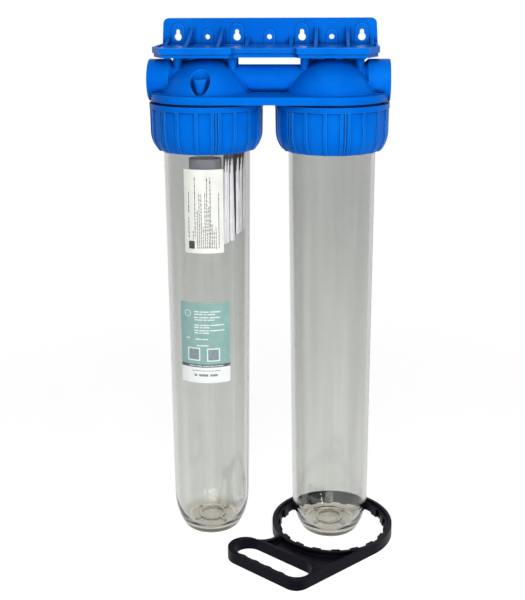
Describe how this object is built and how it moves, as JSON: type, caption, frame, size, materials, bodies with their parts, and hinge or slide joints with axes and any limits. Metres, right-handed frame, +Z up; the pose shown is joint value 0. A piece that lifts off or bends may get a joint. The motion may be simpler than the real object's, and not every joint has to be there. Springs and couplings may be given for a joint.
{
  "type": "twin water filter housing",
  "caption": "Twin water filter housing: blue head with threaded side ports, clear bowls held by ribbed ring nuts, a wall bracket, a vent screw and a bowl wrench.",
  "frame": {"origin": "middle hole of the wall bracket, on the wall face", "axes": "+X along the wall towards the outlet port, +Y into the wall, +Z up along the bowls"},
  "size_m": [0.2725, 0.21, 0.5865],
  "materials": {
    "blue_plastic": "moulded, satin gloss",
    "brass": "machined",
    "steel": "zinc plated",
    "clear_plastic": "clear, glossy",
    "seal_rubber": "matt",
    "label_film": "printed film",
    "paper": "printed paper",
    "paper_dark": "printed paper",
    "black_plastic": "moulded, satin"
  },
  "bodies": {
    "housing": {"twin_head": "blue_plastic", "inlet_thread_insert": "brass", "outlet_thread_insert": "brass", "wall_bracket": "blue_plastic", "bracket_screws": "steel"},
    "left_bowl_group": {"left_bowl": "clear_plastic", "left_bowl_o_ring": "seal_rubber", "bowl_label": "label_film", "leaflet_sheet": "paper", "leaflet_pages": "paper", "leaflet_roll": "paper_dark"},
    "left_nut": {"left_ring_nut": "blue_plastic"},
    "right_bowl_group": {"right_bowl": "clear_plastic", "right_bowl_o_ring": "seal_rubber"},
    "right_nut": {"right_ring_nut": "blue_plastic"},
    "vent": {"vent_screw": "blue_plastic", "vent_o_ring": "seal_rubber"},
    "wrench": {"bowl_wrench": "black_plastic"}
  },
  "joints": [
    {"name": "left_bowl_drop", "type": "slide", "parent": "housing", "child": "left_bowl_group", "axis": [0, 0, -1], "range_m": [0, 0.018]},
    {"name": "left_nut_turn", "type": "hinge", "parent": "left_bowl_group", "child": "left_nut", "pos_m": [-0.0658, -0.07, -0.095], "axis": [0, 0, -1], "range_deg": [0, 1296]},
    {"name": "right_bowl_drop", "type": "slide", "parent": "housing", "child": "right_bowl_group", "axis": [0, 0, -1], "range_m": [0, 0.018]},
    {"name": "right_nut_turn", "type": "hinge", "parent": "right_bowl_group", "child": "right_nut", "pos_m": [0.0722, -0.07, -0.095], "axis": [0, 0, -1], "range_deg": [0, 1296]},
    {"name": "vent_turn", "type": "hinge", "parent": "housing", "child": "vent", "pos_m": [-0.067, -0.111, -0.0569], "axis": [0, 0, 1], "range_deg": [0, 540]},
    {"name": "wrench_lift", "type": "slide", "parent": "housing", "child": "wrench", "axis": [-0.0073, 0.0369, 0.9993], "range_m": [0, 0.4122]}
  ],
  "couplings": [
    {"joint": "left_bowl_drop", "follows": "left_nut_turn", "m_per_rad": 0.0007957},
    {"joint": "right_bowl_drop", "follows": "right_nut_turn", "m_per_rad": 0.0007957}
  ]
}
